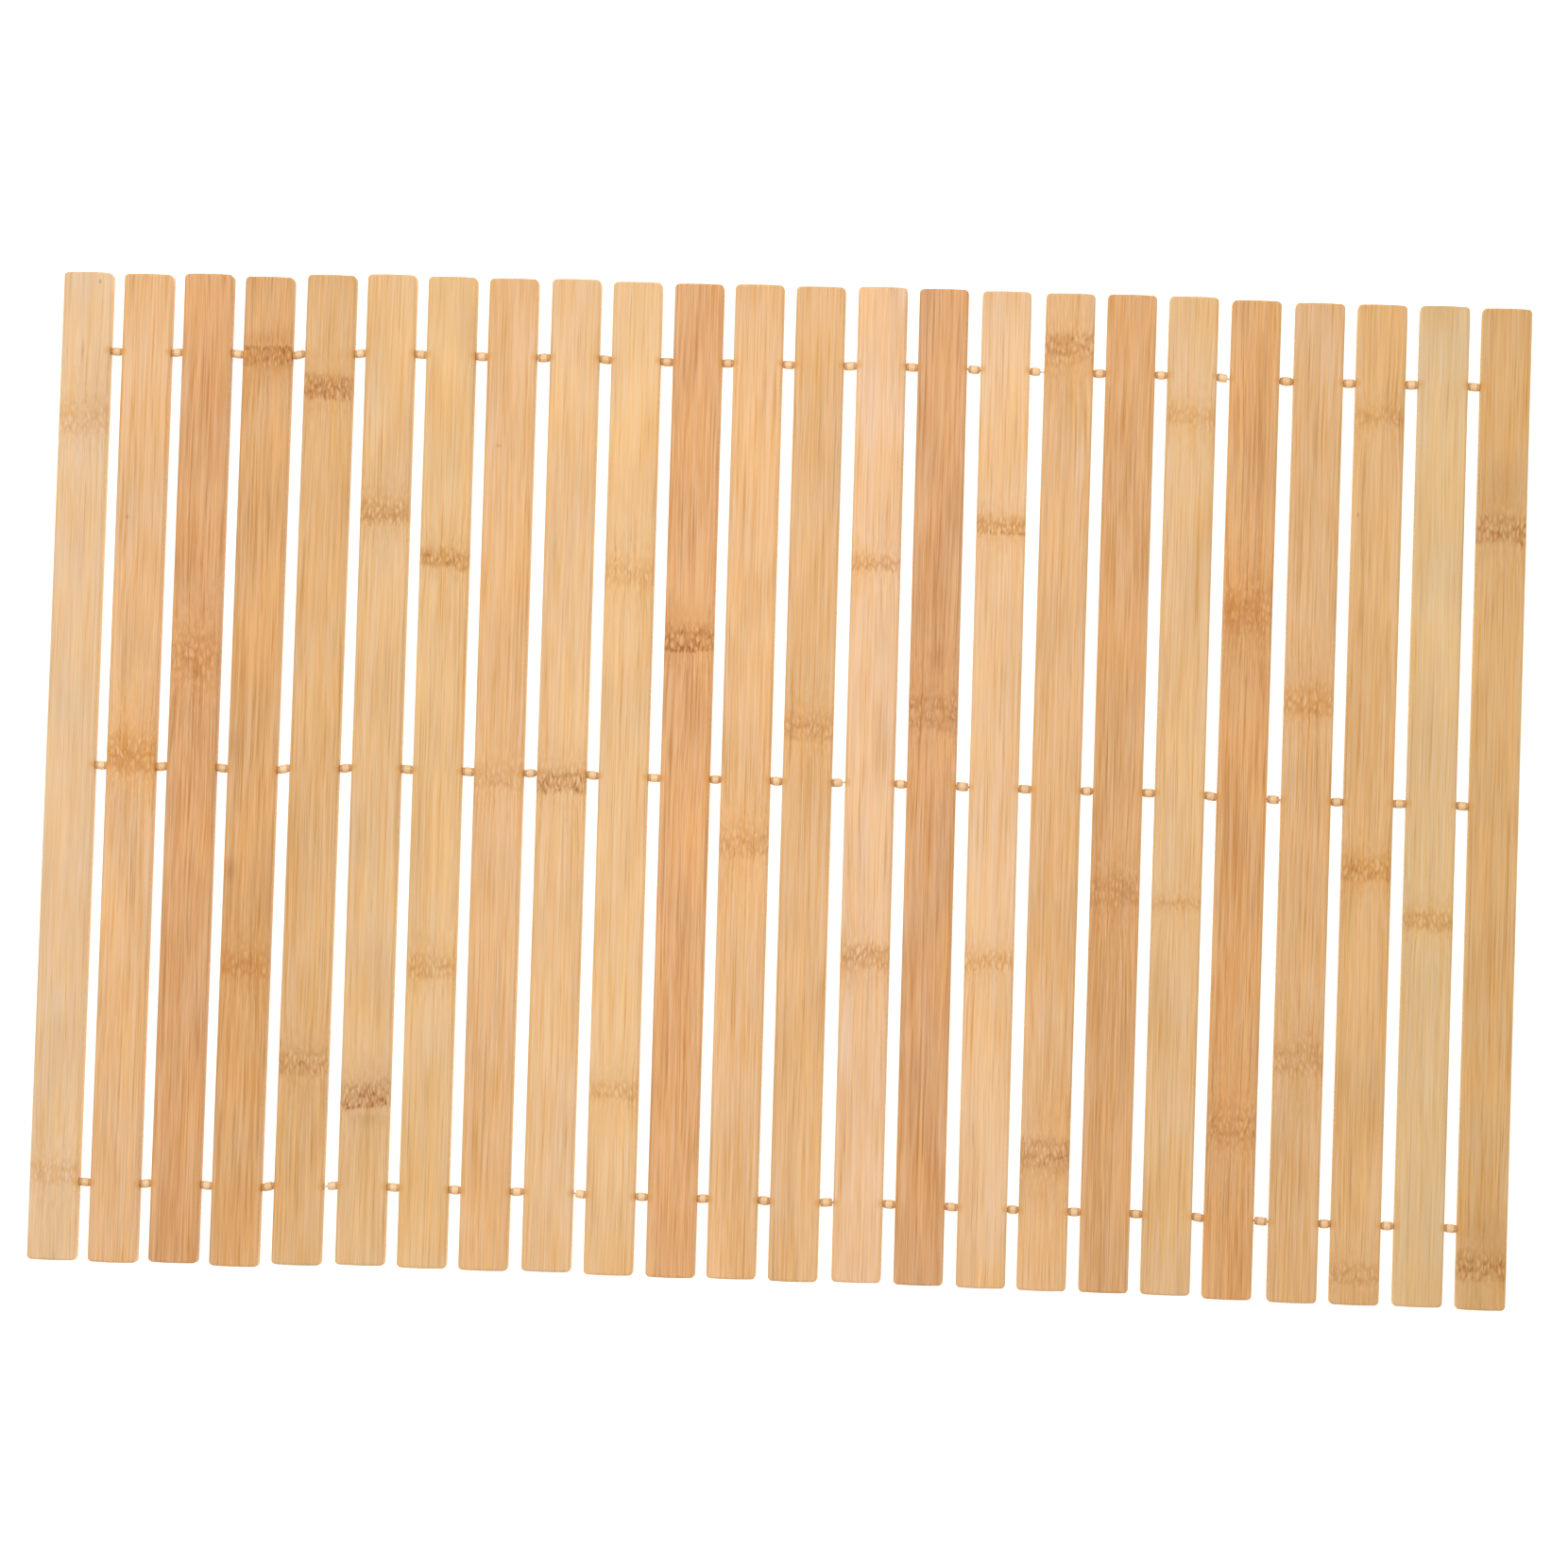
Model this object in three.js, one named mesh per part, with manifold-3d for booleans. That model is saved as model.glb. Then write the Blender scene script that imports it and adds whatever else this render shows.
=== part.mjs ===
// Bamboo mat: flat slats side by side, strung on three cords, with a small wooden bead in every gap.
// Millimetres. +X runs across the slats, +Y along them and +Z up. The mat lies flat on z = 0 and the
// origin is the middle of its underside.
import * as THREE from 'three';
import { mergeVertices } from 'three/addons/utils/BufferGeometryUtils.js';
import Module from 'manifold-3d';

const wasm = await Module();
wasm.setup();

// Slats
const SLAT_LENGTH = 400;
const SLAT_WIDTH = 19.8;
const SLAT_THICKNESS = 8;
const SLAT_PITCH = 24.9;
const CORNER_RADIUS = 1.7;
const CORNER_SEGMENTS = 2; // each gives two sides of a round corner
const EDGE_EASE = 1.1;
const EASE_FACETS = 2;

// Holes across the width of a slat, one for each cord
const BORE_RADIUS = 1.5;
const BORE_SIDES = 8;
const BORE_HEIGHT = SLAT_THICKNESS / 2;
const RECESS_RADIUS = 2.2;
const RECESS_DEPTH = 4.2;
const CUT_MARGIN = 1;

// Cords, and the barrel shapes on them. fullness is 1 for a ball and more for flatter ends.
const CORD_RADIUS = 0.65;
const STRAND_SIDES = 8;
const BARREL_RINGS = 5;
const BEAD = { length: 3.8, radius: 1.9, fullness: 1.2 };
const KNOT = { length: 3, radius: 1.7, fullness: 1.2 };
const KNOT_DEPTH = 2.1;

// The three rows of beads, as distances along the slats from their middle
const ROWS = [
  { name: 'top', along: 168.2 },
  { name: 'middle', along: 0.1 },
  { name: 'bottom', along: -168.2 },
];

// Colours of the bamboo, from the palest to the most toasted
const BAMBOO = {
  straw: 0xe6c795,
  cream: 0xe7bf8f,
  honey: 0xe2b57c,
  amber: 0xdba76c,
  toast: 0xd39a66,
};
const BEAD_COLOUR = 0xd9b486;
const SLAT_ROUGHNESS = 0.55;
const BEAD_ROUGHNESS = 0.6;

// The slats from left to right. shift is how far one lies across from its even place, slide is how far
// it has slipped along, and lean is how far its far end stands to the right of its middle.
const SLATS = [
  { shift: 0.3, slide: -1.1, lean: 0.2, tone: 'straw' },
  { shift: 0.1, slide: -1.3, lean: 0.2, tone: 'honey' },
  { shift: -0.2, slide: -0.6, lean: 0.2, tone: 'toast' },
  { shift: -0.4, slide: -1.2, lean: 0.3, tone: 'amber' },
  { shift: -0.1, slide: 0.2, lean: 0.3, tone: 'honey' },
  { shift: 0.1, slide: 1.0, lean: -0.3, tone: 'cream' },
  { shift: 0.0, slide: 0.7, lean: -0.4, tone: 'cream' },
  { shift: -0.1, slide: 0.6, lean: -0.4, tone: 'honey' },
  { shift: 0.4, slide: 1.0, lean: -0.4, tone: 'cream' },
  { shift: 0.4, slide: 0.5, lean: -0.5, tone: 'cream' },
  { shift: 0.4, slide: 0.4, lean: -0.5, tone: 'toast' },
  { shift: -0.1, slide: 0.7, lean: -0.5, tone: 'honey' },
  { shift: -0.3, slide: 0.5, lean: -0.5, tone: 'honey' },
  { shift: 0.0, slide: 1.0, lean: -0.7, tone: 'cream' },
  { shift: -0.2, slide: 0.8, lean: -0.8, tone: 'toast' },
  { shift: 0.0, slide: 0.5, lean: -0.6, tone: 'cream' },
  { shift: 0.0, slide: 0.3, lean: 0.1, tone: 'honey' },
  { shift: -0.2, slide: 0.4, lean: 0.1, tone: 'amber' },
  { shift: -0.4, slide: 0.3, lean: 0.2, tone: 'cream' },
  { shift: -0.5, slide: -0.6, lean: 0.5, tone: 'toast' },
  { shift: 0.2, slide: -1.0, lean: 0.3, tone: 'honey' },
  { shift: 0.1, slide: -1.0, lean: 0.4, tone: 'honey' },
  { shift: 0.2, slide: -0.9, lean: 0.3, tone: 'straw' },
  { shift: 0.2, slide: -1.3, lean: 0.2, tone: 'honey' },
];

function toSolid(geometry) {
  const bare = geometry.clone();
  bare.deleteAttribute('normal');
  bare.deleteAttribute('uv');
  const merged = mergeVertices(bare);
  return new wasm.Manifold(new wasm.Mesh({
    numProp: 3,
    vertProperties: new Float32Array(merged.attributes.position.array),
    triVerts: new Uint32Array(merged.index.array),
  }));
}

function toGeometry(solid) {
  const mesh = solid.getMesh();
  const geometry = new THREE.BufferGeometry();
  geometry.setAttribute('position', new THREE.BufferAttribute(mesh.vertProperties, 3));
  geometry.setIndex(new THREE.BufferAttribute(mesh.triVerts, 1));
  geometry.computeVertexNormals();
  return geometry;
}

function wood(colour, roughness) {
  return new THREE.MeshStandardMaterial({ color: colour, roughness, metalness: 0, flatShading: true });
}

// A bar with round corners seen from above, and slanting facets along every edge
function slatBlank() {
  const x = SLAT_WIDTH / 2 - CORNER_RADIUS;
  const y = SLAT_LENGTH / 2 - CORNER_RADIUS;
  const outline = new THREE.Shape();
  outline.absarc(x, y, CORNER_RADIUS, 0, Math.PI / 2);
  outline.absarc(-x, y, CORNER_RADIUS, Math.PI / 2, Math.PI);
  outline.absarc(-x, -y, CORNER_RADIUS, Math.PI, 1.5 * Math.PI);
  outline.absarc(x, -y, CORNER_RADIUS, 1.5 * Math.PI, 2 * Math.PI);
  const blank = new THREE.ExtrudeGeometry(outline, {
    depth: SLAT_THICKNESS - 2 * EDGE_EASE,
    curveSegments: CORNER_SEGMENTS,
    bevelEnabled: true,
    bevelSegments: EASE_FACETS,
    bevelThickness: EDGE_EASE,
    bevelSize: EDGE_EASE,
    bevelOffset: -EDGE_EASE,
  });
  return blank.translate(0, 0, EDGE_EASE);
}

// A round cutter lying along X between two places across the slat
function cutter(radius, from, to, along) {
  const rod = new THREE.CylinderGeometry(radius, radius, to - from, BORE_SIDES);
  rod.rotateZ(Math.PI / 2);
  return toSolid(rod.translate((from + to) / 2, along, BORE_HEIGHT));
}

// side is -1 or +1 on the two outer slats, whose outer faces hold the knots, and 0 on the others
function slatGeometry(side) {
  const half = SLAT_WIDTH / 2;
  let solid = toSolid(slatBlank());
  for (const row of ROWS) {
    solid = solid.subtract(cutter(BORE_RADIUS, -half - CUT_MARGIN, half + CUT_MARGIN, row.along));
    if (side !== 0) {
      const ends = [side * (half - RECESS_DEPTH), side * (half + CUT_MARGIN)];
      solid = solid.subtract(cutter(RECESS_RADIUS, Math.min(...ends), Math.max(...ends), row.along));
    }
  }
  return toGeometry(solid);
}

function slatPlace(index) {
  const { shift, slide, lean } = SLATS[index];
  const place = new THREE.Object3D();
  place.position.set((index - (SLATS.length - 1) / 2) * SLAT_PITCH + shift, slide, 0);
  place.rotation.z = -Math.atan(lean / (SLAT_LENGTH / 2));
  place.updateMatrix();
  return place;
}

function buildSlats() {
  const slats = new THREE.Group();
  const last = SLATS.length - 1;
  SLATS.forEach(({ tone }, index) => {
    const side = index === 0 ? -1 : Number(index === last);
    const slat = new THREE.Mesh(slatGeometry(side), wood(BAMBOO[tone], SLAT_ROUGHNESS));
    slat.name = `slat_${String(index + 1).padStart(2, '0')}`;
    const place = slatPlace(index);
    slat.position.copy(place.position);
    slat.rotation.copy(place.rotation);
    slats.add(slat);
  });
  return slats;
}

// The mouths of one row of holes, two for each slat, from left to right
function boreMouths(row) {
  const half = SLAT_WIDTH / 2;
  return SLATS.flatMap((_, index) => [-half, half].map((across) => {
    const mouth = new THREE.Vector3(across, row.along, BORE_HEIGHT);
    return mouth.applyMatrix4(slatPlace(index).matrix);
  }));
}

// What one cord carries, from left to right: a knot, a bead in every gap and a knot
function stringing(row) {
  const mouths = boreMouths(row);
  const left = mouths[0].clone().setX(mouths[0].x + KNOT_DEPTH);
  const right = mouths.at(-1).clone().setX(mouths.at(-1).x - KNOT_DEPTH);
  const carried = [{ ...KNOT, centre: left, angle: 0 }];
  for (let index = 1; index < mouths.length - 1; index += 2) {
    const from = mouths[index];
    const to = mouths[index + 1];
    const angle = Math.atan2(to.y - from.y, to.x - from.x);
    carried.push({ ...BEAD, centre: from.clone().lerp(to, 0.5), angle });
  }
  carried.push({ ...KNOT, centre: right, angle: 0 });
  return carried;
}

// The rings of the whole strand: a barrel for each thing on the cord, and bare cord between them
function strandRings(row) {
  const carried = stringing(row);
  const rings = [];
  carried.forEach(({ length, radius, fullness, centre, angle }, index) => {
    const half = length / 2;
    if (index > 0) rings.push({ centre, angle, along: -half, radius: CORD_RADIUS });
    for (let step = 0; step < BARREL_RINGS; step += 1) {
      const along = half * (2 * step / (BARREL_RINGS - 1) - 1);
      const narrowing = Math.sqrt(1 - (along / (half * fullness)) ** 2);
      rings.push({ centre, angle, along, radius: radius * narrowing });
    }
    if (index < carried.length - 1) rings.push({ centre, angle, along: half, radius: CORD_RADIUS });
  });
  return rings;
}

// A rod of unit radius whose rings are widened, turned and moved to their places
function strandGeometry(row) {
  const rings = strandRings(row);
  const steps = rings.length - 1;
  const rod = new THREE.CylinderGeometry(1, 1, steps, STRAND_SIDES, steps);
  rod.rotateZ(Math.PI / 2);
  const upwards = new THREE.Vector3(0, 0, 1);
  const position = rod.attributes.position;
  for (let i = 0; i < position.count; i += 1) {
    const { centre, angle, along, radius } = rings[Math.round(position.getX(i) + steps / 2)];
    const point = new THREE.Vector3(along, radius * position.getY(i), radius * position.getZ(i));
    point.applyAxisAngle(upwards, angle).add(centre);
    position.setXYZ(i, point.x, point.y, point.z);
  }
  return rod;
}

function buildStrungRows() {
  const rows = new THREE.Group();
  for (const row of ROWS) {
    const strung = new THREE.Mesh(strandGeometry(row), wood(BEAD_COLOUR, BEAD_ROUGHNESS));
    strung.name = `strung_row_${row.name}`;
    rows.add(strung);
  }
  return rows;
}

const mat = new THREE.Group();
mat.add(buildSlats(), buildStrungRows());

// The slats lie a little unevenly, so the middle of the whole mat is brought back to the origin
const middle = new THREE.Box3().setFromObject(mat, true).getCenter(new THREE.Vector3());
mat.position.set(-middle.x, -middle.y, 0);

export default mat;
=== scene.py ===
import math
import random
from collections import namedtuple

import bmesh
import bpy
from mathutils import Matrix, Vector


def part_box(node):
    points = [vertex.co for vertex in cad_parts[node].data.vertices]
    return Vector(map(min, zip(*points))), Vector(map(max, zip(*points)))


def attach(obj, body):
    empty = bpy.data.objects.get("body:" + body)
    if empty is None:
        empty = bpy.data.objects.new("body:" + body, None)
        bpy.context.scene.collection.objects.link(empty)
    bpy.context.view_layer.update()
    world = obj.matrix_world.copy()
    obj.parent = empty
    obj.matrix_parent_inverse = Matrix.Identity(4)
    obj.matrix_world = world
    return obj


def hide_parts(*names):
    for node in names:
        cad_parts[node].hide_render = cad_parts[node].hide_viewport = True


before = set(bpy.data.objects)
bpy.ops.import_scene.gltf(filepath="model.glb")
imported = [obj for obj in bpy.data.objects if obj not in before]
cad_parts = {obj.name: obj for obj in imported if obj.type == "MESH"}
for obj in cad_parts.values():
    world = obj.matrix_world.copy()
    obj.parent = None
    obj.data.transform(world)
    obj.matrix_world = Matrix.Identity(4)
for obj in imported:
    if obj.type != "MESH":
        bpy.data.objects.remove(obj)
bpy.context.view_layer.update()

# A slatted bamboo mat lying flat, seen from almost straight above.
# Blender works in metres. Sizes here are in millimetres and are turned into metres where they are used.
MM = 0.001

# Slats. Edges that turn by more than the square angle are eased, and those past the crease stay crisp.
CORNER_RADIUS = 1.7
CORNER_SEGMENTS = 6
EDGE_RADIUS = 1.1
EDGE_SEGMENTS = 4
SQUARE_ANGLE = math.radians(69)
SLAT_CREASE = math.radians(40)

# The ends bow out a little: their corners are set back by the bow, and only what is within reach of an end
# moves. The cuts divide the width, so that the ends can curve.
END_BOW = 0.25
END_BOW_REACH = 5.0
END_CUTS = 7

# Holes for the cords, and the recesses for their knots in the two outer slats
BORE_RADIUS = 1.5
BORE_SIDES = 32
BORE_FLARE = 0.3
RECESS_RADIUS = 2.2
RECESS_DEPTH = 4.2
CUT_MARGIN = 1.0

# Lengths that count as equal, and points that are merged
NEARLY = 0.01
MERGE_DISTANCE = 1e-5

# Cords, and the overhand knots at their ends
CORD_RADIUS = 0.4
CORD_ROUNDNESS = 4
KNOT_DEPTH = 2.1
KNOT_SIZE = 0.34
KNOT_FLATNESS = 0.9
KNOT_STEPS = 60

# Beads. No two are quite alike, so some values are a least and a most. Fullness is 1 for ends as round as a
# ball's and more for flatter ones. A place of -1 or 1 is against the slat on the left or right. The lip is
# where the hole begins, as a share of the half length, and the play is the least gap to a slat.
BEAD_LENGTHS = (4.7, 5.4)
BEAD_RADII = (1.739, 1.887)
BEAD_FULLNESS = (1.25, 1.7)
BEAD_PLACES = (-0.5, 0.5)
BEAD_TINTS = (-0.5, 0.5)
BEAD_HOLE = 0.72
BEAD_LIP = 0.92
BEAD_SIDES = 28
BEAD_RINGS = 12
BEAD_CREASE = math.radians(50)
BEAD_PLAY = 0.05
SLID_BEAD_LENGTH = 4.2

# From 0 in a bead's middle to 1 at its end: its ring of painted shade, and where the painted shade and brown
# reflection of the slat at its end begin and are full
SHADE_RING_PLACE = 0.60
SHADE_RING_REACH = 0.08
END_SHADE = (0.50, 0.66)

# The three rows of beads, as distances along the slats from their middle
ROWS = {"top": 168.2, "middle": 0.1, "bottom": -168.2}

# Beads that have slid against one slat: the row and the gap, counted from the left, and the bead's place
SLID = {
    ("top", 16): -1,
    ("top", 19): -1,
    ("middle", 13): -1,
    ("bottom", 5): 1,
    ("bottom", 9): 1,
}

# Bamboo from the palest to the most toasted: the light and the dark of its fibres, and how strongly each
# streak shows
TONES = {
    "straw": ("#eac699", "#d8aa6f", 0.75),
    "cream": ("#eec495", "#dba769", 0.90),
    "honey": ("#e9bb88", "#d49d5b", 1.00),
    "amber": ("#e4b078", "#c98e4b", 1.12),
    "toast": ("#e4af7b", "#c88a4e", 1.12),
}

# Toasted bamboo and end grain, the painted sheen and shade of the rounded edges, and the painted contact
# shade beside the beads
EMBER = "#a66527"
# Painted sheen and shade: a greyer, darker tone on the rounded long edges
EDGE_SHEEN = "#dab48c"
# Painted contact shade beside the beads, warmed as by the light bounced between bead and slat
BEAD_SHADE_COLOUR = "#dc9a45"

# What a colour is multiplied by, where the bamboo is rosy, golden or deep gold, and on its side walls, where
# painted light makes them paler as if lit from the floor below
ROSY = (0.945, 1.01, 1.18, 1.0)
GOLDEN = (1.04, 0.985, 0.845, 1.0)
DEEP_GOLD = (0.97, 0.80, 0.45, 1.0)
WALL_PAINTED_LIGHT = (1.18, 1.36, 1.36, 1.0)

# How the fibres run: they sway along the slat, and ripple and bulge round a knot, so far and over such a
# reach. A knot's line is jagged, less where it is crisp, and sags.
SWAY = 2.0
RIPPLE = 2.0
BULGE = 0.12
BULGE_REACH = 16.0
KNOT_REACH = 7.0
FEATHER_REACH = 18.0
JAG = 5.0
JAG_LOST_WHERE_CRISP = 3.0
SAG = 3.5

# How strongly each kind of streak and patch shows in the bamboo
PALE_SHARE = 0.58
FINE_SHOWS = 1.3
STRAND_SHOWS = 2.0
FEATHER_SHOWS = 0.9
BAND_SHOWS = 0.4
WASH_SHOWS = 0.9
THREAD_SHOWS = 0.25
CLOUD_HUE = 1.5
PATCH_HUE = 1.1

# A knot's belt, in steps along the slat that grow with the knot's spread: where it begins and is full, which
# lie nearer to each other where it is crisp, and where it ends. Then its crisp lower line, the streaks above
# and below it, its golden glow, the golden threads above it, and the size of the cells between its cracks.
BELT_START = -5.6
BELT_FULL = -3.0
BELT_END = (0.0, 5.5)
LINE_PLACE = -3.6
LINE_REACH = 0.8
ABOVE_PLACE = 4.5
ABOVE_REACH = 6.0
BELOW_PLACE = -7.0
BELOW_REACH = 5.0
GLOW_PLACE = -0.5
GLOW_REACH = 6.0
GOLD_THREADS_PLACE = 6.0
GOLD_THREADS_REACH = 7.0
CELL_WIDTH = 1.6
CELL_LENGTH = 4.4

# Where each pattern begins and is full, in the noise that it is made from
THREAD_EDGE = (0.10, 0.30)
CRACK_EDGE = (0.02, 0.24)
CLUMP_EDGE = (-0.16, 0.16)
MOTTLE_EDGE = (-0.04, 0.16)
LINE_EDGE = (-0.10, 0.10)
ABOVE_EDGE = (-0.05, 0.15)
BELOW_EDGE = (0.0, 0.2)
SEED_EDGE = (0.18, 0.40)
PORE_EDGE = (0.02, 0.14)

# How strongly the parts of a knot show
BELT_SHOWS = 0.14
CRACKS_SHOW = 0.36
MOTTLE_SHOWS = 0.36
CLUMPS_SHOW = 0.62
LINE_SHOWS = 0.30
STREAKS_SHOW = 0.26
SEEDS_SHOW = 0.65

# Distances from a slat's side, where the painted sheen and shade of its edge, the painted light on its side
# wall and the painted contact shade beside the beads begin and are full, and how strongly they show
EDGE_SHEEN_BAND = (1.3, 0.5)
EDGE_SHEEN_SHOWS = 0.18
LIT_WALL_BAND = (0.5, 0.05)
BEAD_SHADE_REACH = (2.6, 1.4)
BEAD_SHADE_HALF_HEIGHT = 1.5
BEAD_SHADE_SHOWS = 0.55

# How far past a slat's bowed end the sawn wood begins and is full, and how strongly it and its pores show
SAWN = (-0.45, -0.05)
SAWN_SHOWS = 0.22
PORES_SHOW = 0.4

# Relief in the surfaces, and the cord's braid: how its strands slant and how tightly they wind, in radians
# to the millimetre
GRAIN_DEPTH = 0.03
BRAID_DEPTH = 0.06
BRAID_SLANT = 1.4
BRAID_WIND = 9.0

# How far apart the noise of neighbouring slats lies, and how many times further for their fibres
DRIFT = 13.7
FIBRE_DRIFT = 7.0

# A knot in the bamboo: its place along the slat from the slat's middle, how dark and how golden it is, how
# far it spreads, below 0 where its streaks run the other way, how much it rises across the slat, and how
# crisp its edge is.
Knot = namedtuple("Knot", "along dark gold spread rise crisp", defaults=[0.0, 0.0])

# The slats from left to right. lean is how far the far end stands to the right of the middle. light makes
# a slat paler or darker than its tone, and warmth yellower. marks lists small stains: their places across
# and along, their half width and half height, and how dark they are.
Slat = namedtuple("Slat", "lean tone light warmth knots marks", defaults=[[]])
SLATS = [
    Slat(
        0.2, "straw", 1.01, -0.06, [Knot(141, 0.25, 0.45, 1.5), Knot(-164, 0.25, 0.35, 1.3)],
        [(5, 196, 0.5, 0.8, 0.6), (-1, 168, 0.5, 4, 0.4)],
    ),
    Slat(0.2, "honey", 1.03, -0.06, [Knot(6, 0.50, 0.90, 1.9)], [(-5, 101, 0.7, 0.7, 0.5)]),
    Slat(0.2, "toast", 0.99, 0.01, [Knot(46, 0.47, 0.38, 2.4)]),
    Slat(
        0.3, "amber", 0.99, 0.00, [Knot(167, 1.15, 0.40, -1.0, crisp=0.5), Knot(-78, 0.45, 0.50, 1.2)],
        [(0, 175, 6, 3, 0.2), (-7, 10, 2, 6, 0.3), (-4, -14, 1.5, 4, 0.2), (-7, -41, 2.2, 5, 0.45)],
    ),
    Slat(0.3, "honey", 0.96, 0.04, [Knot(155, 1.05, 0.30, 1.2, crisp=0.2), Knot(-118, 0.70, 0.15, 1.2)]),
    Slat(
        -0.3, "cream", 0.95, 0.05,
        [Knot(104, 0.64, 0.55, 1.2), Knot(-131, 1.05, 0.05, 1.4, rise=0.19, crisp=0.7)],
        [(2, -141, 9, 3, 0.15)],
    ),
    Slat(-0.4, "cream", 0.97, 0.08, [Knot(86, 0.78, 0.62, 0.9), Knot(-78, 0.50, 0.35, 1.2, crisp=0.2)]),
    Slat(-0.4, "honey", 1.02, -0.04, [Knot(-1, 0.30, 0.20, 1.3)], [(-4, 132, 1.2, 0.8, 0.3)]),
    Slat(-0.4, "cream", 1.01, 0.01, [Knot(-2, 0.95, 0.15, 1.3, crisp=0.2)]),
    Slat(-0.5, "cream", 1.02, 0.04, [Knot(83, 0.28, 0.30, 1.3), Knot(-126, 0.42, 0.30, 0.9, crisp=0.3)]),
    Slat(-0.5, "toast", 1.06, 0.02, [Knot(57, 1.12, 0.28, 1.3, crisp=0.9)]),
    Slat(-0.5, "honey", 1.08, -0.04, [Knot(-24, 0.45, 0.35, 1.6)]),
    Slat(-0.5, "honey", 1.02, -0.02, [Knot(23, 0.48, 0.35, 1.5)]),
    Slat(-0.7, "cream", 1.04, -0.10, [Knot(88, 0.50, 0.55, 0.8), Knot(-70, 0.55, 0.55, -1.2)]),
    Slat(-0.8, "toast", 1.00, -0.03, [Knot(31, 0.68, 0.05, 2.0)], [(1, 52, 2.5, 7, 0.3)]),
    Slat(
        -0.6, "cream", 1.04, -0.04,
        [Knot(106, 0.60, 0.70, 0.9, crisp=0.7), Knot(-69, 0.35, 0.60, 0.9, crisp=0.7)],
    ),
    Slat(0.1, "honey", 1.02, -0.04, [Knot(177, 0.60, 0.40, -1.6, crisp=0.5), Knot(-147, 0.75, 0.15, -1.8)]),
    Slat(0.1, "amber", 1.00, -0.06, [Knot(-39, 0.44, 0.20, 1.6)]),
    Slat(0.2, "cream", 0.95, 0.04, [Knot(152, 0.32, 0.35, 1.0), Knot(-44, 0.35, 0.30, 0.7)]),
    Slat(0.5, "toast", 1.01, 0.09, [Knot(76, 0.32, 0.56, 2.0), Knot(-130, 0.54, 0.20, 2.0)]),
    Slat(0.3, "honey", 0.97, -0.01, [Knot(40, 0.40, 0.78, 1.4), Knot(-102, 0.45, 0.30, 1.6)]),
    Slat(
        0.4, "honey", 0.97, 0.05,
        [Knot(155, 0.40, 0.45, 0.9), Knot(-26, 0.60, 0.70, 1.2), Knot(-187, 0.45, 0.15, 1.1)],
        [(-7.6, 115, 0.4, 0.9, 0.6)],
    ),
    Slat(0.3, "straw", 0.95, 0.07, [Knot(-46, 0.45, 0.60, 1.0)]),
    Slat(
        0.2, "honey", 0.91, 0.11, [Knot(112, 0.90, 0.30, 1.4), Knot(-182, 0.85, 0.25, 1.4)],
        [(0, 132, 9, 9, 0.15), (0, -168, 9, 10, 0.2)],
    ),
]
LAST = len(SLATS) - 1

# The camera, from the slats' places in the photograph
CAMERA_PLACE = (0.0968, -0.0760, 2.0)
CAMERA_TURN_DEGREES = (2.258, 2.631, 1.836)
LENS = 114.2
SENSOR_WIDTH = 36.0

# The white floor, which glows a little, and the light, with places and sizes in metres
FLOOR_SIZE = 4.0
FLOOR_DROP = 0.0002
FLOOR_COLOUR = (0.6, 0.6, 0.6, 1.0)
FLOOR_GLOW = 0.8
SKY_STRENGTH = 0.65
SOFTBOX_PLACE = (-0.35, 0.8, 1.9)
SOFTBOX_SIZE = 1.6
SOFTBOX_WATTS = 20.6
WHITE = (1.0, 1.0, 1.0, 1.0)


# Shader maths
class Wire:
    """A socket that ordinary arithmetic works on."""

    def __init__(self, paint, socket):
        self.paint = paint
        self.socket = socket

    def __add__(self, other):
        return self.paint.math("ADD", self, other)

    def __sub__(self, other):
        return self.paint.math("SUBTRACT", self, other)

    def __mul__(self, other):
        return self.paint.math("MULTIPLY", self, other)

    def __truediv__(self, other):
        return self.paint.math("DIVIDE", self, other)

    def __radd__(self, other):
        return self.paint.math("ADD", other, self)

    def __rsub__(self, other):
        return self.paint.math("SUBTRACT", other, self)

    def __rmul__(self, other):
        return self.paint.math("MULTIPLY", other, self)

    def __rtruediv__(self, other):
        return self.paint.math("DIVIDE", other, self)

    def __abs__(self):
        return self.paint.math("ABSOLUTE", self)

    def fading(self, reach):
        """1 where the value is 0, a third of that at the reach and next to nothing at twice the reach."""
        share = self / reach
        return self.paint.math("EXPONENT", share * share * -1.0)


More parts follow.
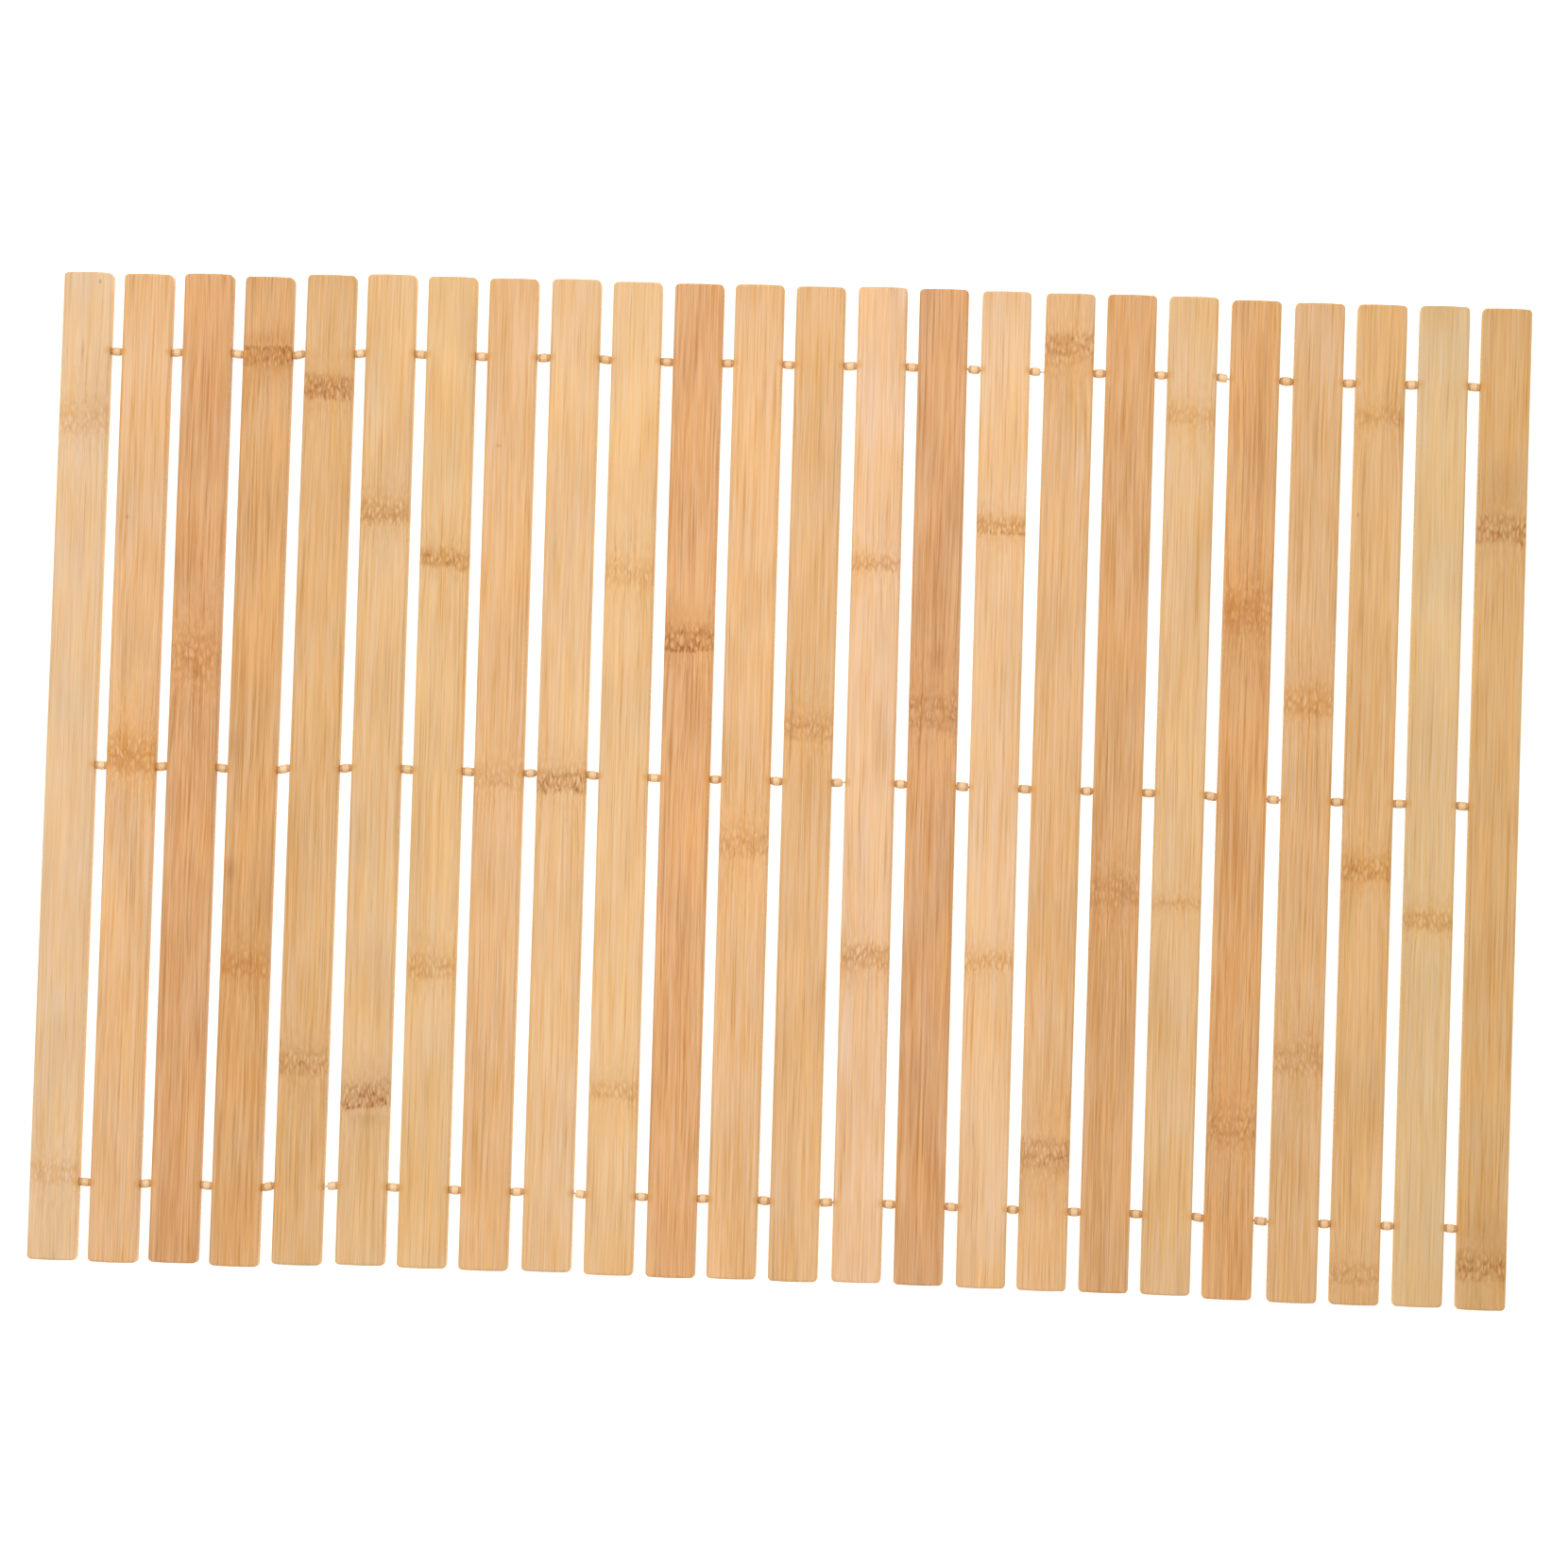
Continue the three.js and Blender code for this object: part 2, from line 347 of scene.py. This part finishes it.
class Paint:
    """A new material with a plain surface shader, and the nodes that feed it."""

    def __init__(self, name, roughness=0.5, specular=0.4):
        self.material = bpy.data.materials.new(name)
        self.material.use_nodes = True
        self.tree = self.material.node_tree
        self.surface = self.tree.nodes["Principled BSDF"]
        self.surface.inputs["Roughness"].default_value = roughness
        self.surface.inputs["Specular IOR Level"].default_value = specular

    def put(self, value, socket):
        if isinstance(value, Wire):
            self.tree.links.new(value.socket, socket)
        else:
            socket.default_value = value

    def node(self, kind, settings=None, values=None, output=0):
        made = self.tree.nodes.new(kind)
        for name, setting in (settings or {}).items():
            setattr(made, name, setting)
        for name, value in (values or {}).items():
            self.put(value, made.inputs[name])
        return Wire(self, made.outputs[output])

    def finish(self, **values):
        for name, value in values.items():
            self.put(value, self.surface.inputs[name.replace("_", " ")])
        return self.material

    def math(self, operation, *values):
        return self.node("ShaderNodeMath", {"operation": operation}, dict(enumerate(values)))

    def split(self, vector):
        first = self.node("ShaderNodeSeparateXYZ", None, {0: vector})
        return [Wire(self, part) for part in first.socket.node.outputs]

    def join(self, x, y, z):
        return self.node("ShaderNodeCombineXYZ", None, {0: x, 1: y, 2: z})

    def point(self):
        """The point's place in millimetres from the mat's origin."""
        return [part / MM for part in self.split(self.node("ShaderNodeTexCoord", output="Object"))]

    def attribute(self, name):
        return self.node("ShaderNodeAttribute", {"attribute_name": name}, output="Fac")

    def noise(self, x, y, z, detail=2.0, roughness=0.5):
        """Smooth noise around 0, with features about one unit across."""
        values = {"Vector": self.join(x, y, z), "Scale": 1.0, "Detail": detail, "Roughness": roughness}
        return self.node("ShaderNodeTexNoise", None, values) - 0.5

    def ramp(self, value, low, high):
        """0 up to low, 1 from high, and smooth between them."""
        values = {"Value": value, "From Min": low, "From Max": high}
        return self.node("ShaderNodeMapRange", {"interpolation_type": "SMOOTHSTEP"}, values)

    def mix(self, factor, first, second, blend="MIX"):
        """Two colours mixed. A Mix node has its colours in sockets 6 and 7 and their mix in output 2."""
        settings = {"data_type": "RGBA", "blend_type": blend}
        return self.node("ShaderNodeMix", settings, {0: factor, 6: first, 7: second}, 2)

    def bump(self, height, depth):
        """The normal of a surface with relief so deep, in millimetres."""
        return self.node("ShaderNodeBump", None, {"Height": height, "Distance": depth * MM})


def colour(text):
    """A colour written as in a web page, as the linear numbers that shaders use."""
    parts = [int(text[place:place + 2], 16) / 255 for place in (1, 3, 5)]
    return (*[part / 12.92 if part <= 0.04045 else ((part + 0.055) / 1.055) ** 2.4 for part in parts], 1.0)


def shaded(text, light, warmth):
    """A named colour made paler or darker by light, and yellower by warmth."""
    red, green, blue, solid = colour(text)
    return (red * light, green * light, blue * light * (1 - warmth), solid)


# Materials
class Bamboo(Paint):
    """Sanded bamboo. Its fibres are long, and run wavy at the knots. All sizes are in millimetres.

    x, y and z are the point's place across, along and above the slat's middle. across and deep are x and z
    as the bent fibres carry them. reach is how far the point lies past the jagged line of the nearest knot,
    divided by that knot's spread.
    """

    def __init__(self, name, number, centre, turn):
        super().__init__(name, specular=0.3)
        self.number = number
        self.drift = (number + 1) * DRIFT
        self.slat = SLATS[number]
        place = {
            "Vector": self.node("ShaderNodeTexCoord", output="Object"),
            "Location": centre,
            "Rotation": (0.0, 0.0, turn),
            "Scale": (MM, MM, MM),
        }
        self.x, self.y, self.z = self.split(self.node("ShaderNodeMapping", {"vector_type": "TEXTURE"}, place))
        self.find_knot()
        self.lay_fibres()

    def spots(self, width, length, height=None):
        """Noise that stays where it is on the slat, with features of this size."""
        return self.noise(
            self.x / width + self.drift, self.y / length, self.z / (height or width), detail=1.0
        )

    def streaks(self, width, length, detail=1.0, roughness=0.5):
        """Noise that follows the fibres, with features of this size."""
        return self.noise(self.across / width, self.y / length, self.deep / width, detail, roughness)

    def nearest_knot(self):
        """How far the point is past the knot next to it, and that knot's traits."""
        nearest = None
        for knot in self.slat.knots:
            traits = [self.y - self.x * knot.rise - knot.along, knot.dark, knot.gold, knot.spread, knot.crisp]
            if nearest:
                nearer = self.math("LESS_THAN", abs(traits[0]), abs(nearest[0]))
                traits = [old + nearer * (new - old) for old, new in zip(nearest, traits)]
            nearest = traits
        return nearest

    def find_knot(self):
        gap, self.dark, self.gold, spread, self.crisp = self.nearest_knot()
        jagged = self.spots(width=1.2, length=60.0, height=4.0) * (JAG - self.crisp * JAG_LOST_WHERE_CRISP)
        sag = self.spots(width=9.0, length=60.0) * SAG
        self.reach = (gap - jagged - sag) / spread
        self.near = self.reach.fading(KNOT_REACH)

    def lay_fibres(self):
        """The fibres sway along the slat, and ripple and bulge at a knot."""
        sway = self.spots(width=22.0, length=90.0) * SWAY
        ripple = self.spots(width=1.6, length=4.0) * self.near * RIPPLE
        bulge = self.x * self.reach.fading(BULGE_REACH) * BULGE
        self.across = self.x + sway + ripple + bulge + self.drift * FIBRE_DRIFT
        self.deep = self.z + sway
        self.fine = self.streaks(width=0.4, length=17.0)
        self.strand = self.streaks(width=0.8, length=62.0, detail=1.5, roughness=0.6)
        self.thread = self.ramp(self.strand * -1.0 - self.fine * 0.4, *THREAD_EDGE)

    def pale(self):
        return shaded(TONES[self.slat.tone][0], self.slat.light, self.slat.warmth)

    def fibre_colour(self):
        """Pale and dark fibres with a few darker threads, rosier in some places and more golden in others."""
        _, dark_hue, contrast = TONES[self.slat.tone]
        shade = shaded(dark_hue, self.slat.light, self.slat.warmth)
        feather = self.streaks(width=1.0, length=5.0) * self.reach.fading(FEATHER_REACH)
        band = self.streaks(width=4.6, length=130.0)
        wash = self.spots(width=16.0, length=45.0)
        tone = PALE_SHARE + (self.fine * FINE_SHOWS + self.strand * STRAND_SHOWS) * contrast
        tone = tone + feather * FEATHER_SHOWS + band * BAND_SHOWS + wash * WASH_SHOWS
        body = self.mix(tone, shade, self.pale())
        body = self.mix(self.thread * THREAD_SHOWS * contrast, body, colour(EMBER))
        cloud = self.streaks(width=2.2, length=60.0)
        patch = self.spots(width=30.0, length=40.0)
        hue = self.mix(0.5 + cloud * CLOUD_HUE + patch * PATCH_HUE, ROSY, GOLDEN)
        return self.mix(1.0, body, hue, "MULTIPLY")

    def knot_colour(self, body):
        """A knot's belt: golden, with dark cracks and patches, pale seeds, and streaks above and below it."""
        reach, crisp = self.reach, self.crisp
        mottle = self.streaks(width=1.0, length=3.0, detail=2.0, roughness=0.6)
        cell = self.join(self.across / CELL_WIDTH, self.y / CELL_LENGTH, self.deep / CELL_WIDTH)
        cells = {"Vector": cell, "Scale": 1.0}
        seam = self.node("ShaderNodeTexVoronoi", {"feature": "DISTANCE_TO_EDGE"}, cells)
        crackle = 1.0 - self.ramp(seam, *CRACK_EDGE)
        lower_edge = self.ramp(reach, BELT_START + crisp, BELT_FULL - crisp * 0.9)
        belt = lower_edge * (1.0 - self.ramp(reach, *BELT_END))
        clump = self.ramp(self.spots(width=4.5, length=5.0), *CLUMP_EDGE)
        patches = BELT_SHOWS + crackle * CRACKS_SHOW + self.ramp(mottle, *MOTTLE_EDGE) * MOTTLE_SHOWS
        patches = belt * patches * (1.0 + clump) * CLUMPS_SHOW
        line = (reach - LINE_PLACE).fading(LINE_REACH) * self.ramp(mottle, *LINE_EDGE) * crisp
        above = self.ramp(self.strand + self.fine * 0.6, *ABOVE_EDGE)
        above = (reach - ABOVE_PLACE).fading(ABOVE_REACH) * above
        below = self.ramp(self.strand - self.fine * 0.6, *BELOW_EDGE)
        below = (reach - BELOW_PLACE).fading(BELOW_REACH) * below
        scorch = patches + line * LINE_SHOWS + (above + below) * STREAKS_SHOW
        scorch = scorch * self.dark + self.stains()

        glow = (reach - GLOW_PLACE).fading(GLOW_REACH) * (0.5 + crackle * 0.6)
        threads = (reach - GOLD_THREADS_PLACE).fading(GOLD_THREADS_REACH) * self.thread * 0.8
        body = self.mix((glow + threads) * self.gold, body, DEEP_GOLD, "MULTIPLY")
        body = self.mix(scorch, body, colour(EMBER))
        seeds = self.ramp(seam, *SEED_EDGE) * self.near * SEEDS_SHOW
        return self.mix(seeds, body, self.pale())

    def stains(self):
        """The slat's small stains, each an oval that fades outwards."""
        stains = 0.0
        for spot_x, spot_y, half_width, half_height, darkness in self.slat.marks:
            apart_x = (self.x - spot_x) / half_width
            apart_y = (self.y - spot_y) / half_height
            apart = self.math("SQRT", apart_x * apart_x + apart_y * apart_y)
            stains = stains + apart.fading(1.0) * darkness
        return stains

    def near_side(self, from_middle, begins, full):
        """0 where the slat's side is still as far off as begins, and 1 from where it is as near as full."""
        return self.ramp(from_middle, WIDTH / 2 - begins, WIDTH / 2 - full)

    def painted_edge_light(self, body):
        """Painted sheen and shade on the long edges, painted light on the side walls, and painted warm
        contact shade beside the beads.
        """
        from_middle = abs(self.x)
        edge = self.near_side(from_middle, *EDGE_SHEEN_BAND)
        lit_wall = self.near_side(from_middle, *LIT_WALL_BAND)
        # Painted sheen and shade on the rounded long edges
        body = self.mix(edge * EDGE_SHEEN_SHOWS, body, colour(EDGE_SHEEN))
        # Painted light: the side walls are made paler, as if lit from the glowing floor below
        body = self.mix(lit_wall, body, WALL_PAINTED_LIGHT, "MULTIPLY")
        towards_bead = {0: self.x, LAST: self.x * -1.0}.get(self.number, from_middle)
        # Painted warm contact shade on the slat beside each bead
        bead_shade = self.near_side(towards_bead, *BEAD_SHADE_REACH)
        bead_shade = bead_shade * sum((self.y - row).fading(BEAD_SHADE_HALF_HEIGHT) for row in ROWS.values())
        return self.mix(bead_shade * BEAD_SHADE_SHOWS, body, colour(BEAD_SHADE_COLOUR))

    def end_grain(self):
        """1 on the sawn ends, which follow their bow, and 0 elsewhere."""
        bowed_end = LENGTH / 2 - self.x * self.x * (END_BOW / (WIDTH / 2) ** 2)
        return self.ramp(abs(self.y) - bowed_end, *SAWN)

    def painted(self):
        """The finished material."""
        body = self.painted_edge_light(self.knot_colour(self.fibre_colour()))
        sawn = self.end_grain()
        pores = self.noise(self.across / 0.5, 0.0, self.deep / 0.5, detail=1.0)
        pores = self.ramp(pores, *PORE_EDGE)
        body = self.mix(sawn * (SAWN_SHOWS + pores * PORES_SHOW), body, colour(EMBER))
        relief = self.fine * 0.5 + self.strand * 0.8
        rough = 0.55 + self.fine * 0.35 + self.strand * 0.2 + sawn * 0.15
        return self.finish(Base_Color=body, Roughness=rough, Normal=self.bump(relief, GRAIN_DEPTH))


def bead_wood():
    """Small turned beads: pale wood with a little grain, with painted shade and a painted brown reflection of
    the slat towards the ends that touch a slat.
    """
    paint = Paint("bead_wood", roughness=0.42, specular=0.4)
    rim = paint.attribute("rim")
    tint = paint.attribute("tint")
    x, y, z = paint.point()
    grain = paint.noise(x / 1.6, y / 0.3, z / 0.3, detail=2.0)
    cloud = paint.noise(x / 1.1, y / 1.1, z / 1.1, detail=1.0)
    body = paint.mix(0.6 + tint * 0.5 + grain * 1.0 + cloud * 0.6, colour("#dfb47c"), colour("#f9dcb0"))
    # Painted shade and a painted brown reflection of the slat, in a ring and towards the ends that meet a
    # slat
    ring = (rim - SHADE_RING_PLACE).fading(SHADE_RING_REACH) * 0.40
    end = paint.ramp(rim, *END_SHADE) * 0.32
    body = paint.mix(ring + end, body, colour("#b06a22"))
    return paint.finish(Base_Color=body, Normal=paint.bump(grain + cloud, GRAIN_DEPTH))


def cord_fibre():
    """White braided cord: two sets of strands crossing round it."""
    paint = Paint("cord", roughness=0.75, specular=0.3)
    x, y, z = paint.point()
    one_way = paint.math("SINE", (x + y * BRAID_SLANT + z) * BRAID_WIND)
    other_way = paint.math("SINE", (x - y * BRAID_SLANT - z) * BRAID_WIND)
    braid = one_way * other_way
    fuzz = paint.noise(x / 0.2, y / 0.2, z / 0.2)
    body = paint.mix(0.6 + braid * 0.4 + fuzz * 0.8, colour("#f4efe6"), colour("#ffffff"))
    return paint.finish(Base_Color=body, Normal=paint.bump(braid + fuzz * 0.5, BRAID_DEPTH))


# Meshes
def new_object(name, mesh):
    made = bpy.data.objects.new(name, mesh)
    bpy.context.scene.collection.objects.link(made)
    return made


def mesh_from(name, shape):
    mesh = bpy.data.meshes.new(name)
    shape.to_mesh(mesh)
    shape.free()
    return mesh


def bevel(shape, edges, offset, segments):
    bmesh.ops.bevel(
        shape, geom=edges, offset=offset, segments=segments, profile=0.5, affect="EDGES", material=-1
    )


def spun(profile, sides):
    """A closed solid of revolution about X from the points of one half section."""
    shape = bmesh.new()
    corners = [shape.verts.new((along, 0.0, radius)) for along, radius in profile]
    edges = [shape.edges.new(pair) for pair in zip(corners, corners[1:])]
    bmesh.ops.spin(
        shape, geom=corners + edges, cent=(0, 0, 0), axis=(1, 0, 0), dvec=(0, 0, 0),
        angle=math.tau, steps=sides, use_merge=True,
    )
    bmesh.ops.remove_doubles(shape, verts=shape.verts[:], dist=MERGE_DISTANCE)
    bmesh.ops.recalc_face_normals(shape, faces=shape.faces[:])
    return shape


def slat_blank(width, length, thickness):
    """A bar with round corners, eased edges and ends that bow out a little, about its own middle."""
    shape = bmesh.new()
    bmesh.ops.create_cube(shape, size=1.0)
    bmesh.ops.scale(shape, vec=(width, length, thickness), verts=shape.verts[:])
    crossing = [edge for edge in shape.edges if abs(edge.verts[0].co.x - edge.verts[1].co.x) > width / 2]
    bmesh.ops.subdivide_edges(shape, edges=crossing, cuts=END_CUTS, use_grid_fill=True)
    upright = [
        edge for edge in shape.edges
        if abs(edge.verts[0].co.z - edge.verts[1].co.z) > thickness / 2
        and abs(edge.verts[0].co.x) > width / 2 - NEARLY
    ]
    bevel(shape, upright, CORNER_RADIUS, CORNER_SEGMENTS)
    rims = [edge for edge in shape.edges if edge.calc_face_angle(0.0) > SQUARE_ANGLE]
    bevel(shape, rims, EDGE_RADIUS, EDGE_SEGMENTS)
    for vert in shape.verts:
        from_end = length / 2 - abs(vert.co.y)
        if from_end < END_BOW_REACH:
            sag = END_BOW * (2 * vert.co.x / width) ** 2
            vert.co.y -= math.copysign(sag, vert.co.y)
    return shape


def bore_profile(half, recess_side):
    """Half the section of what is drilled out: a hole with flared mouths, deeper round a knot."""
    inner = [
        (-half - CUT_MARGIN, 0.0),
        (-half - CUT_MARGIN, BORE_RADIUS + BORE_FLARE + CUT_MARGIN),
        (BORE_FLARE - half, BORE_RADIUS),
    ]
    if recess_side:
        outer = [
            (half - RECESS_DEPTH, BORE_RADIUS),
            (half - RECESS_DEPTH, RECESS_RADIUS),
            (half - BORE_FLARE, RECESS_RADIUS),
            (half + CUT_MARGIN, RECESS_RADIUS + BORE_FLARE + CUT_MARGIN),
            (half + CUT_MARGIN, 0.0),
        ]
    else:
        outer = [(-along, radius) for along, radius in reversed(inner)]
    turned = [(-along, radius) for along, radius in reversed(inner + outer)]
    return turned if recess_side < 0 else inner + outer


def drills(half, recess_side):
    """The three holes of one slat as one cutting mesh."""
    cutter = bmesh.new()
    for along in ROWS.values():
        hole = spun(bore_profile(half, recess_side), BORE_SIDES)
        hole.transform(Matrix.Translation((0.0, along, 0.0)))
        mesh = mesh_from("hole", hole)
        cutter.from_mesh(mesh)
        bpy.data.meshes.remove(mesh)
    return mesh_from("drills", cutter)


def cut_out(name, mesh, cutting_mesh):
    """The mesh with the cutting mesh taken out of it."""
    blank = new_object(name, mesh)
    cutter = new_object("cutter", cutting_mesh)
    cut = blank.modifiers.new("holes", "BOOLEAN")
    cut.operation = "DIFFERENCE"
    cut.solver = "EXACT"
    cut.object = cutter
    result = bpy.data.meshes.new_from_object(blank.evaluated_get(bpy.context.evaluated_depsgraph_get()))
    for spare in (blank, cutter):
        data = spare.data
        bpy.data.objects.remove(spare)
        bpy.data.meshes.remove(data)
    result.name = name
    return result


def smooth_but_crisp(piece, angle):
    """Smooth shading with crisp corners past an angle, and flats that stay flat beside roundings."""
    piece.data.shade_smooth()
    piece.data.set_sharp_from_angle(angle=angle)
    even = piece.modifiers.new("flat faces", "WEIGHTED_NORMAL")
    even.keep_sharp = True


# Where things lie, from the frame
def slat_node(number):
    return f"slat_{number + 1:02d}"


def slat_middle(number):
    low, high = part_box(slat_node(number))
    return (low + high) / 2


def slat_turn(number):
    return -math.atan(SLATS[number].lean / (LENGTH / 2))


def slat_size():
    """Width, length and thickness of a slat, in millimetres, from the box of one that leans.

    It leans so little that the box is as long as the slat, to a tenth of a millimetre.
    """
    low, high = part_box(slat_node(0))
    size = (high - low) / MM
    turn = math.atan(SLATS[0].lean / (size.y / 2))
    return (size.x - size.y * math.sin(turn)) / math.cos(turn), round(size.y, 1), size.z


WIDTH, LENGTH, THICKNESS = slat_size()


def in_mat(number):
    """The matrix from a slat's own millimetres to the mat's metres."""
    turn = Matrix.Rotation(slat_turn(number), 4, "Z")
    return Matrix.Translation(slat_middle(number)) @ turn @ Matrix.Scale(MM, 4)


def mouth(number, row, side):
    return in_mat(number) @ Vector((side * WIDTH / 2, ROWS[row], 0.0))


# The pieces
def build_slat(number):
    name = f"bamboo_slat_{number + 1:02d}"
    recess_side = {0: -1, LAST: 1}.get(number, 0)
    blank = mesh_from(name, slat_blank(WIDTH, LENGTH, THICKNESS))
    mesh = cut_out(name, blank, drills(WIDTH / 2, recess_side))
    mesh.transform(in_mat(number))
    wood = Bamboo(name, number, slat_middle(number), slat_turn(number))
    mesh.materials.clear()
    mesh.materials.append(wood.painted())
    piece = new_object(name, mesh)
    smooth_but_crisp(piece, SLAT_CREASE)
    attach(piece, "root")
    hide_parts(slat_node(number))


def bead_shape(length, radius, fullness, pressed):
    """A ball with flat ends and a hole through it, lying along X.

    Its attribute rim, which places the painted shade of the ends, goes from 0 in the middle to 1 at the ends,
    or at the one end that is pressed to a slat.
    """
    half = length / 2
    outside = []
    for ring in range(BEAD_RINGS + 1):
        along = half * (2 * ring / BEAD_RINGS - 1)
        outside.append((along, radius * math.sqrt(1 - (along / (half * fullness)) ** 2)))
    hole = [(-half * BEAD_LIP, BEAD_HOLE), (half * BEAD_LIP, BEAD_HOLE)]
    shape = spun([hole[0], *outside, hole[1], hole[0]], BEAD_SIDES)
    rim = shape.verts.layers.float.new("rim")
    for vert in shape.verts:
        towards_end = max(vert.co.x * pressed, 0.0) if pressed else abs(vert.co.x)
        vert[rim] = towards_end / half
    return shape


def strung_beads(row, dice):
    """The beads of one row, each in its gap and in the mat's metres."""
    for gap in range(LAST):
        start = mouth(gap, row, 1)
        end = mouth(gap + 1, row, -1)
        room = (end - start).length / MM
        length = min(dice.uniform(*BEAD_LENGTHS), room - 2 * BEAD_PLAY)
        side = dice.uniform(*BEAD_PLACES)
        pressed = SLID.get((row, gap + 1), 0)
        if pressed:
            length, side = SLID_BEAD_LENGTH, pressed
        radius = dice.uniform(*BEAD_RADII)
        slack = (room - length) / 2 - BEAD_PLAY
        along = (end - start).normalized()
        centre = (start + end) / 2 + along * side * slack * MM
        tilt = Matrix.Rotation(math.atan2(along.y, along.x), 4, "Z")
        roll = Matrix.Rotation(dice.uniform(0, math.tau), 4, "X")
        bead = bead_shape(length, radius, dice.uniform(*BEAD_FULLNESS), pressed)
        bead.transform(Matrix.Translation(centre) @ tilt @ roll @ Matrix.Scale(MM, 4))
        yield bead


def build_beads(row, material):
    """All beads of one row as one piece, each with its own tint."""
    dice = random.Random(row)
    beads = bmesh.new()
    tint = beads.verts.layers.float.new("tint")
    beads.verts.layers.float.new("rim")
    for bead in strung_beads(row, dice):
        mesh = mesh_from("bead", bead)
        before = len(beads.verts)
        beads.from_mesh(mesh)
        bpy.data.meshes.remove(mesh)
        beads.verts.ensure_lookup_table()
        shade = dice.uniform(*BEAD_TINTS)
        for vert in beads.verts[before:]:
            vert[tint] = shade
    piece = new_object(f"beads_{row}", mesh_from(f"beads_{row}", beads))
    piece.data.materials.append(material)
    smooth_but_crisp(piece, BEAD_CREASE)
    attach(piece, "root")
    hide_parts(f"strung_row_{row}")


def knot_points(centre):
    """A small overhand knot as a closed line round X, in metres."""
    points = []
    for step in range(KNOT_STEPS):
        turn = math.tau * step / KNOT_STEPS
        around = Vector((
            -math.sin(3 * turn) * KNOT_FLATNESS,
            math.sin(turn) + 2 * math.sin(2 * turn),
            math.cos(turn) - 2 * math.cos(2 * turn),
        ))
        points.append(centre + around * KNOT_SIZE * MM)
    return points


def add_line(curve, points, closed):
    line = curve.splines.new("POLY")
    line.points.add(len(points) - 1)
    for place, point in zip(line.points, points):
        place.co = (*point, 1.0)
    line.use_cyclic_u = closed


def build_cord(row, material):
    """One cord through all the slats, with a knot at each end."""
    start = mouth(0, row, -1) + Vector((KNOT_DEPTH * MM, 0, 0))
    end = mouth(LAST, row, 1) - Vector((KNOT_DEPTH * MM, 0, 0))
    route = [start, mouth(0, row, 1)]
    for number in range(1, LAST):
        route += [mouth(number, row, -1), mouth(number, row, 1)]
    route += [mouth(LAST, row, -1), end]
    curve = bpy.data.curves.new(f"cord_{row}", "CURVE")
    curve.dimensions = "3D"
    curve.bevel_depth = CORD_RADIUS * MM
    curve.bevel_resolution = CORD_ROUNDNESS
    curve.use_fill_caps = True
    add_line(curve, route, False)
    for centre in (start, end):
        add_line(curve, knot_points(centre), True)
    cord = new_object("cord", curve)
    mesh = bpy.data.meshes.new_from_object(cord.evaluated_get(bpy.context.evaluated_depsgraph_get()))
    bpy.data.objects.remove(cord)
    bpy.data.curves.remove(curve)
    mesh.name = f"cord_{row}"
    mesh.materials.clear()
    mesh.materials.append(material)
    mesh.shade_smooth()
    piece = new_object(f"cord_{row}", mesh)
    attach(piece, "root")
    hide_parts(f"strung_row_{row}")


# The stage
def build_floor():
    shape = bmesh.new()
    bmesh.ops.create_grid(shape, x_segments=1, y_segments=1, size=FLOOR_SIZE)
    bmesh.ops.translate(shape, vec=(0, 0, -FLOOR_DROP), verts=shape.verts[:])
    floor = new_object("floor", mesh_from("floor", shape))
    paint = Paint("floor", roughness=0.8, specular=0.1)
    material = paint.finish(Base_Color=FLOOR_COLOUR, Emission_Color=WHITE, Emission_Strength=FLOOR_GLOW)
    floor.data.materials.append(material)


def build_light():
    world = bpy.data.worlds.new("studio")
    bpy.context.scene.world = world
    world.use_nodes = True
    sky = world.node_tree.nodes["Background"]
    sky.inputs["Color"].default_value = WHITE
    sky.inputs["Strength"].default_value = SKY_STRENGTH
    lamp = bpy.data.lights.new("softbox", "AREA")
    lamp.shape = "DISK"
    lamp.size = SOFTBOX_SIZE
    lamp.energy = SOFTBOX_WATTS
    softbox = bpy.data.objects.new("softbox", lamp)
    softbox.location = SOFTBOX_PLACE
    softbox.rotation_euler = (-Vector(softbox.location)).to_track_quat("-Z", "Y").to_euler()
    softbox.visible_camera = False
    bpy.context.scene.collection.objects.link(softbox)


def build_camera():
    lens = bpy.data.cameras.new("camera")
    lens.sensor_fit = "HORIZONTAL"
    lens.sensor_width = SENSOR_WIDTH
    lens.lens = LENS
    camera = bpy.data.objects.new("camera", lens)
    camera.location = CAMERA_PLACE
    camera.rotation_euler = [math.radians(turn) for turn in CAMERA_TURN_DEGREES]
    bpy.context.scene.collection.objects.link(camera)
    bpy.context.scene.camera = camera


build_camera()
build_floor()
build_light()
bpy.context.scene.view_settings.view_transform = "Standard"

for slat_number in range(len(SLATS)):
    build_slat(slat_number)

bead_material = bead_wood()
cord_material = cord_fibre()
for row_name in ROWS:
    build_beads(row_name, bead_material)
    build_cord(row_name, cord_material)
